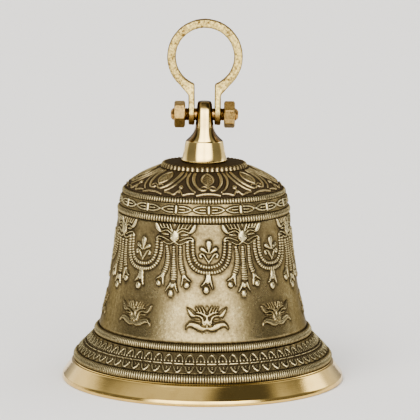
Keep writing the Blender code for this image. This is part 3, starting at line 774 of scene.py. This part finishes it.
def make_inner_wall():
    """The bell's inner wall, from inside the lip to the crown's hole."""
    waist = bezier((47.2, 26.4), (41.3, 45.0), (37.9, 81.4), 30)
    line = np.vstack([
        between((57.0, 9.9), (56.3, 11.0), 2),
        between((56.3, 11.0), (48.7, 20.4), 8)[1:],
        waist[1:],
        bezier((37.9, 81.4), (37.0, 88.0), (34.6, 90.8), 8)[1:],
        bezier((34.6, 90.8), (28.6, 97.0), (17.6, 100.9), 14)[1:],
        between((17.6, 100.9), (14.4, 101.9), 3)[1:],
        between((14.4, 101.9), (2.8, 101.9), 6)[1:],
    ])
    return plain_ring("bell_inner_wall", line, 192, np.zeros(len(line)), inner_brass)


def make_body():
    pieces = [make_collar()]
    line = spaced(bezier(SHOULDER_TOP, SHOULDER_PULL, SHOULDER_BOTTOM, 100), 0.27)
    down = np.linspace(0, length_of(line), len(line))
    drawn = sector_relief(line, 120, down, draw_lotus, draw_shoulder_ball, shade=0.75, reach=2.5)
    pieces.append(band("bell_shoulder", line, *drawn, shoulder_brass))

    line = spaced(between(CHAIN_TOP, CHAIN_BOTTOM, 2), 0.23)
    drawn = sector_relief(line, 72, line[:, 1], draw_chain_link, cells=CHAIN_LINKS, shade=0.2)
    pieces.append(band("bell_chain_band", line, *drawn, antique))

    line = spaced(between(PETAL_TOP, PETAL_BOTTOM, 2), 0.26)
    down = np.linspace(0, length_of(line), len(line))
    drawn = sector_relief(line, 16, down, draw_petal_pair, cells=PETAL_PAIRS, turn=PETAL_TURN, shade=0.5)
    pieces.append(band("bell_petal_band", line, *drawn, antique))

    for name, top, bottom, ribs, per_rib, height, bulge in (
        ("bell_upper_beading", SHOULDER_BOTTOM, CHAIN_TOP, 176, 7, 0.3, 0.4),
        ("bell_lower_beading", CHAIN_BOTTOM, WAIST_TOP, 176, 7, 0.35, 0.5),
        ("bell_flare_beading", WAIST_BOTTOM, PETAL_TOP, 288, 6, 0.3, 0.85),
        ("bell_lip_beading", PETAL_BOTTOM, FLARE_TOP, 312, 6, 0.3, 0.8),
    ):
        line = moulding_line(top, bottom, bulge)
        pieces.append(fluted(name, line, ribs, per_rib, height, antique, BEADING_TURN))
    return pieces + make_waist() + [make_lip(), make_inner_wall()]


for piece in make_body():
    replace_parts(piece, "bell_body")


# The stem, the ring handle and the fasteners

PIVOT_Z, STUD_RADIUS, STUD_HALF = 128.0, 3.05, 16.2
NUT_CORNER, NUT_THICKNESS, NUT_X = 6.65, 5.2, 11.9
BOLT_RADIUS = 2.5  # the clapper's eye bolt, inside the crown


def capped(rows, top, bottom):
    """(points, faces) of a solid from rows of points round z, closed by a point at each end."""
    count, points = rows.shape[1], rows.reshape(-1, 3)
    end, last = len(points), len(points) - count
    faces = loop_faces(len(rows), count, False).tolist()
    faces += [[end, i, (i + 1) % count] for i in range(count)]
    faces += [[end + 1, last + (i + 1) % count, last + i] for i in range(count)]
    return np.vstack([points, [[0, 0, top], [0, 0, bottom]]]), faces


def lathe(line, count=96, swell=None):
    """(points, faces) of a solid turned round z. The line runs from top to bottom, its ends on the axis."""
    theta = turns(count)
    wall = np.array(line[1:-1], float)
    radius = wall[:, :1] + (swell(wall, theta) if swell else 0)
    return capped(around(radius, wall[:, 1:], theta[None, :]), line[0][1], line[-1][1])


def tube(path, radius, normal, sides=24):
    """(points, faces) of a closed round bar along a flat closed path."""
    path = np.array(path, float)
    tangent = np.roll(path, -1, 0) - np.roll(path, 1, 0)
    tangent /= np.linalg.norm(tangent, axis=1)[:, None]
    side = np.cross(tangent, normal)
    angle = turns(sides)
    flat = side[:, None] * np.cos(angle)[None, :, None]
    ring = flat + np.array(normal, float) * np.sin(angle)[None, :, None]
    return (path[:, None] + radius * ring).reshape(-1, 3), loop_faces(len(path), sides).tolist()


def joined(*solids):
    points = np.vstack([p for p, _ in solids])
    faces, start = [], 0
    for p, f in solids:
        faces += [[start + v for v in face] for face in f]
        start += len(p)
    return points, faces


def turned_to_x(points):
    return points[:, [2, 1, 0]] * (1, 1, -1)


def solid(name, shape, material, body, slot, *nodes, crease=None, tone=None):
    """A piece from (points, faces) that stands for CAD nodes, facing outwards."""
    points, faces = shape
    a, b, c = (points[[face[k] for face in faces]] for k in (0, 1, 2))
    if np.einsum("ij,ij->i", a, np.cross(b, c)).sum() < 0:
        faces = [face[::-1] for face in faces]
    piece = make_piece(name, points, faces, material, body, tone=tone)
    if crease:
        piece.data.set_sharp_from_angle(angle=radians(crease))
    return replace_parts(piece, *nodes)


def stem_shape():
    """(shape, tone) of a round foot that necks into an upright lug with a flat front and rounded corners; the
    tone is painted shade.
    """
    # Each row is its height, its half sizes in x and y, and how square it is, from 2 for round.
    foot = np.array([
        (105.7, 10.7, 10.7, 2.0), (105.85, 10.98, 10.98, 2.0), (106.3, 10.98, 10.98, 2.0),
        (106.6, 10.75, 10.75, 2.0), (110.9, 9.85, 9.85, 2.0), (115.0, 9.05, 9.05, 2.0),
    ])
    neck = eased([
        (115.35, 8.85, 8.9, 2.0), (115.9, 8.3, 8.6, 2.0), (117.2, 6.9, 8.25, 2.1), (119.0, 5.6, 7.85, 2.35),
        (121.6, 4.6, 7.3, 2.7), (125.0, 4.1, 6.95, 3.0), (128.5, 3.8, 6.45, 3.2), (131.5, 3.65, 5.4, 3.2),
        (133.3, 3.45, 4.2, 3.0), (134.1, 3.0, 3.4, 2.8), (134.38, 2.3, 2.5, 2.6),
    ], 8)
    rows = np.vstack([foot, neck])
    t = turns(128)
    across = np.sin(t)[None, :]
    along = -np.cos(t)[None, :]
    power = 2 / rows[:, 3:]
    x = rows[:, 1:2] * np.sign(across) * abs(across) ** power
    y = rows[:, 2:3] * np.sign(along) * abs(along) ** power
    z = rows[:, :1] + 0 * x
    points, faces = capped(np.stack([x, y, z], -1)[::-1], 134.4, 105.7)
    # The front keeps its polished colour in a tongue, this share of the width at these heights. The flanks
    # and the top are darkened with painted shade, for the dark surroundings they would mirror.
    height = points[:, 2]
    half = np.interp(height, rows[:, 0], rows[:, 1])
    tongue = np.interp(height, (116, 119, 122.5, 127.5, 131), (0.54, 0.56, 0.68, 0.74, 0.6))
    flank_shade = np.clip((abs(points[:, 0]) / half - tongue) / 0.12, 0, 1) * (height > 115.4)
    crown = np.clip((height - 130.6) / 1.6, 0, 1) * 0.55
    return (points, faces), -np.maximum(flank_shade, crown)


def nut_shape(corner, thickness, bore, turn, sides=180):
    """(points, faces) of a hexagon nut round z, with turned-off corners and a countersunk bore."""
    t = turns(sides)
    flat = corner * cos(radians(30))
    sharpness = 40
    reach = sum(np.maximum(0, np.cos(t - radians(turn) - k * tau / 6)) ** sharpness for k in range(6))
    edge = flat / reach ** (1 / sharpness)
    start = flat * 0.97
    half = thickness / 2
    upper = [(bore, half - 0.5), (bore + 0.4, half), (start, half)]
    for share in (0.35, 0.7, 1.0):
        radius = start + (edge - start) * share
        upper.append((radius, half - (radius - start) * 0.55 - 0.05 * share))
    rows = upper + [(edge * 1.002, 0)] + [(r, -z) for r, z in reversed(upper)]
    points = np.stack([around(r, z, t) for r, z in rows])
    return points.reshape(-1, 3), loop_faces(len(rows), sides).tolist()


def threaded(pitch, depth, plain=0.0):
    """A thread on a turned bar, left off within that distance of its middle."""

    def swell(wall, theta):
        z = wall[:, 1:]
        phase = (z / pitch + theta[None, :] / tau) % 1
        cut = depth * (1 - np.abs(2 * phase - 1)) ** 0.8
        return -cut * (abs(z) > plain)

    return swell


def make_pivot():
    plain_half = 7.6
    thread_z = np.arange(STUD_HALF - 1.2, plain_half, -0.11)
    half = [(0, STUD_HALF), (1.7, STUD_HALF - 0.05), (2.2, STUD_HALF - 0.25), (2.75, STUD_HALF - 0.9)]
    half += [(STUD_RADIUS, z) for z in thread_z]
    points, faces = lathe(half + [(r, -z) for r, z in reversed(half)], 48, threaded(0.8, 0.3, plain_half))
    shape = (turned_to_x(points) + (0, 0, PIVOT_Z), faces)
    solid("pivot_stud_threaded", shape, stud_brass, "pivot_bolt", "dark_brass", "pivot_stud", crease=50)
    for side, x, turn in (("left", -NUT_X, 41.0), ("right", NUT_X, 6.0)):
        points, faces = nut_shape(NUT_CORNER, NUT_THICKNESS, STUD_RADIUS + 0.07, turn)
        shape = (turned_to_x(points) + (x, 0, PIVOT_Z), faces)
        name, node = f"pivot_nut_{side}_hex", f"pivot_nut_{side}"
        solid(name, shape, nut_brass, "pivot_bolt", "dark_brass", node, crease=28)


def make_bail():
    """The ring handle: the CAD solid's shape with its edges softened and a cast skin."""
    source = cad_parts["bail"].data.copy()
    draft = bpy.data.objects.new("bail_draft", source)
    bpy.context.scene.collection.objects.link(draft)
    remesh = draft.modifiers.new("remesh", "REMESH")
    remesh.mode = "VOXEL"
    remesh.voxel_size = 0.36 * MM
    smooth = draft.modifiers.new("smooth", "SMOOTH")
    smooth.iterations = 5
    clouds = bpy.data.textures.new("cast_skin", "CLOUDS")
    clouds.noise_scale = 1.6 * MM
    clouds.noise_depth = 3
    skin = draft.modifiers.new("skin", "DISPLACE")
    skin.texture = clouds
    skin.texture_coords = "GLOBAL"
    skin.strength = 0.3 * MM
    graph = bpy.context.evaluated_depsgraph_get()
    mesh = bpy.data.meshes.new_from_object(draft.evaluated_get(graph))
    bpy.data.objects.remove(draft)
    mesh.name = "bail_ring"
    mesh.materials.clear()
    mesh.materials.append(bail_brass)
    mesh.polygons.foreach_set("use_smooth", np.ones(len(mesh.polygons), bool))
    facing = np.empty(len(mesh.vertices) * 3, np.float32)
    mesh.vertex_normals.foreach_get("vector", facing)
    height = np.array([v.co.z for v in mesh.vertices]) / MM
    # The ring's sides and its two feet are darkened with painted shade, for the dark surroundings they would
    # mirror; its front and back keep the bright colour.
    foot = np.clip((PIVOT_Z + 1.0 - height) / 0.8, 0, 1)
    tone = -np.maximum(np.clip((0.86 - abs(facing[1::3])) / 0.3, 0, 1), 0.8 * foot)
    store_tone(mesh, tone)
    ring = bpy.data.objects.new("bail_ring", mesh)
    bpy.context.scene.collection.objects.link(ring)
    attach(ring, "bail")
    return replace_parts(ring, "bail")


def circle(centre_z, radius, count=64):
    """Points of a circle round the y axis, raised to that height."""
    t = turns(count)
    return np.stack([radius * np.cos(t), 0 * t, centre_z + radius * np.sin(t)], -1)


def washer(outer, bore, top, bottom, sides=96):
    """(points, faces) of a flat ring with softened edges."""
    line = np.array([
        (bore, top - 0.1), (bore + 0.1, top), (outer - 0.15, top), (outer, top - 0.15),
        (outer, bottom + 0.15), (outer - 0.15, bottom), (bore + 0.1, bottom), (bore, bottom + 0.1),
    ])
    ring = around(line[:, :1], line[:, 1:], turns(sides)[None, :]).reshape(-1, 3)
    return ring, loop_faces(len(line), sides).tolist()


def make_eyebolt():
    """The threaded bolt that hangs the clapper, and what holds it in the crown."""
    thread_bottom = 93.2
    shank = [(0, 114.6), (2.2, 114.6), (BOLT_RADIUS, 114.3)]
    shank += [(BOLT_RADIUS, z) for z in np.arange(114.0, 93.0, -0.15)]
    shank += [(BOLT_RADIUS, 92.9), (2.2, 91.8), (0, 91.7)]
    thread = threaded(0.8, 0.28)
    bolt = lathe(shank, 48, lambda wall, theta: thread(wall, theta) * (wall[:, 1:] > thread_bottom))
    shape = joined(tube(circle(87.8, 4.5), 1.5, (0, 1, 0)), bolt)
    solid(
        "clapper_eyebolt_threaded", shape, clapper_brass, "bell", "plain_brass", "clapper_eyebolt", crease=50
    )
    shape = washer(7.0, 2.8, 101.6, 100.4)
    solid("crown_washer_round", shape, clapper_brass, "bell", "plain_brass", "crown_washer", crease=35)
    shape = washer(4.7, 2.8, 100.1, 98.7)
    solid("lock_washer_spring", shape, steel, "bell", "steel", "lock_washer", crease=35)
    points, faces = nut_shape(5.75, 4.0, 2.6, 30)
    shape = (points + (0, 0, 96.4), faces)
    solid("crown_nut_hex", shape, clapper_brass, "bell", "plain_brass", "crown_nut", crease=28)


def make_clapper():
    """The wire link, and the rod and ball that swing from it."""
    bend, upper_z, lower_z = 3.2, 83.3, 75.3
    t = np.arange(32) / 32 * pi
    upper = [(0, bend * cos(a), upper_z + bend * sin(a)) for a in t]
    lower = [(0, -bend * cos(a), lower_z - bend * sin(a)) for a in t]
    shape = tube(upper + lower, 1.2, (1, 0, 0))
    solid("clapper_link_wire", shape, steel, "clapper_link", "steel", "clapper_link")

    stalk = [(0, 68.2), (1.3, 68.1), (1.9, 67.2), (1.9, 60.0), (2.2, 45.0)]
    stalk += [(2.5, 33.0), (2.5, 24.5), (0, 24.4)]
    shape = joined(tube(circle(71.3, 3.7), 1.3, (0, 1, 0)), lathe(stalk, 48))
    solid("clapper_rod_turned", shape, clapper_brass, "clapper", "plain_brass", "clapper_rod", crease=60)

    radius, centre_z = 11.0, 22.0
    angles = np.linspace(radians(73), radians(-90), 48)
    sphere = [(radius * cos(v), centre_z + radius * sin(v)) for v in angles]
    sphere[-1] = (0, centre_z - radius)
    shape = lathe([(0, 24.1), (2.75, 24.1), (2.75, 32.2), (2.95, 32.5)] + sphere, 96)
    solid("clapper_ball_turned", shape, clapper_brass, "clapper", "plain_brass", "clapper_ball", crease=60)


# The stem's tones are painted shade on its flanks and top.
stem, stem_painted_shade = stem_shape()
solid("crown_stem_cast", stem, stem_brass, "bell", "polished_brass", "crown_stem", crease=32, tone=stem_painted_shade)
make_pivot()
make_bail()
make_eyebolt()
make_clapper()


# The floor, the light and the camera


def make_floor():
    shader = Shader("pale_floor")
    shader.main.inputs["Base Color"].default_value = (0.78, 0.76, 0.73, 1)
    shader.main.inputs["Roughness"].default_value = 0.95
    shader.main.inputs["Specular IOR Level"].default_value = 0.1
    mesh = bpy.data.meshes.new("floor")
    half = 9.0  # metres
    corners = [(-half, -half, 0), (half, -half, 0), (half, half, 0), (-half, half, 0)]
    mesh.from_pydata(corners, [], [(0, 1, 2, 3)])
    mesh.materials.append(shader.material)
    floor = bpy.data.objects.new("floor", mesh)
    bpy.context.scene.collection.objects.link(floor)


def make_world():
    """The surroundings that the metal mirrors: a bright front, dark sides, back and ceiling, two lit panels
    behind, and a dark flag above the right front. The camera sees plain grey."""
    world = bpy.data.worlds.new("studio")
    bpy.context.scene.world = world
    world.use_nodes = True
    s = Nodes(world.node_tree)
    place = s.node("ShaderNodeTexCoord").outputs["Generated"]
    parts = s.node("ShaderNodeSeparateXYZ")
    s.feed(parts.inputs[0], place)

    def blend(share, a, b):
        return s.maths("ADD", a, s.maths("MULTIPLY", share, s.maths("SUBTRACT", b, a)))

    def towards(azimuth, lift):
        """How directly each direction points that way, as the cosine of the angle between them."""
        a, b = radians(azimuth), radians(lift)
        made = s.node("ShaderNodeVectorMath", operation="DOT_PRODUCT")
        s.feed(made.inputs[0], place)
        s.feed(made.inputs[1], (sin(a) * cos(b), -cos(a) * cos(b), sin(b)))
        return made.outputs["Value"]

    # How far round each direction is, from 0 in front to 1 behind.
    front = s.maths("MULTIPLY", parts.outputs["Y"], -1.0)
    turn = s.maths("DIVIDE", s.maths("ABSOLUTE", s.maths("ARCTAN2", parts.outputs["X"], front)), pi)
    height = parts.outputs["Z"]
    walls = s.ramp(turn, [
        (0.0, 0.75), (0.03, 1.1), (0.12, 1.15), (0.215, 1.0), (0.28, 0.09),
        (0.57, 0.09), (0.64, 0.3), (0.8, 0.3), (0.88, 0.14), (1.0, 0.14),
    ])
    walls = s.maths("MULTIPLY", walls, s.maths("MULTIPLY_ADD", height, 0.6, 0.8))
    light = blend(s.ramp(height, [(0.0, 0.0), (0.55, 0.0), (0.75, 1.0)]), walls, 0.25)
    light = blend(s.ramp(height, [(0.0, 0.0), (0.88, 0.0), (0.96, 1.0)]), light, 0.07)
    for azimuth, lift, outer, inner, grey in (
        (-135, 22, 0.955, 0.975, 0.38),
        (120, 28, 0.972, 0.988, 0.7),
        (48, 55, 0.9, 0.96, 0.05),
    ):
        patch = s.ramp(towards(azimuth, lift), [(0.0, 0.0), (outer, 0.0), (inner, 1.0)])
        light = blend(patch, light, grey)
    back = s.tree.nodes["Background"]
    seen = s.node("ShaderNodeLightPath").outputs["Is Camera Ray"]
    s.feed(back.inputs["Color"], blend(seen, light, 0.4))
    back.inputs["Strength"].default_value = 2.5


def make_lamp(name, place, strength, spread):
    """A broad soft light from far away. It lights the floor and shapes its shadow, unseen in the metal."""
    data = bpy.data.lights.new(name, "SUN")
    data.energy = strength
    data.angle = radians(spread)
    lamp = bpy.data.objects.new(name, data)
    lamp.rotation_euler = (-Vector(place)).to_track_quat("-Z", "Y").to_euler()
    lamp.visible_glossy = False
    bpy.context.scene.collection.objects.link(lamp)


def make_camera():
    distance, aim_z, lift, lens, roll = 1.42, 0.080, radians(9.1), 253.0, radians(0.45)
    data = bpy.data.cameras.new("camera")
    data.sensor_width = 36.0
    data.lens = lens
    data.clip_end = 60.0
    camera = bpy.data.objects.new("camera", data)
    bpy.context.scene.collection.objects.link(camera)
    bpy.context.scene.camera = camera
    data.shift_x, data.shift_y = 0.0148, 0.0079
    camera.location = (0.0, -distance * cos(lift), aim_z + distance * sin(lift))
    turn = Matrix.Rotation(pi / 2 - lift, 3, "X") @ Matrix.Rotation(roll, 3, "Z")
    camera.rotation_euler = turn.to_euler()


make_floor()
make_world()
make_lamp("key_light", (-0.9, -1.1, 2.2), 1.6, 40)
make_lamp("fill_light", (1.3, -0.5, 1.6), 0.6, 60)
make_camera()
bpy.context.scene.view_settings.view_transform = "AgX"
bpy.context.scene.view_settings.look = "AgX - High Contrast"
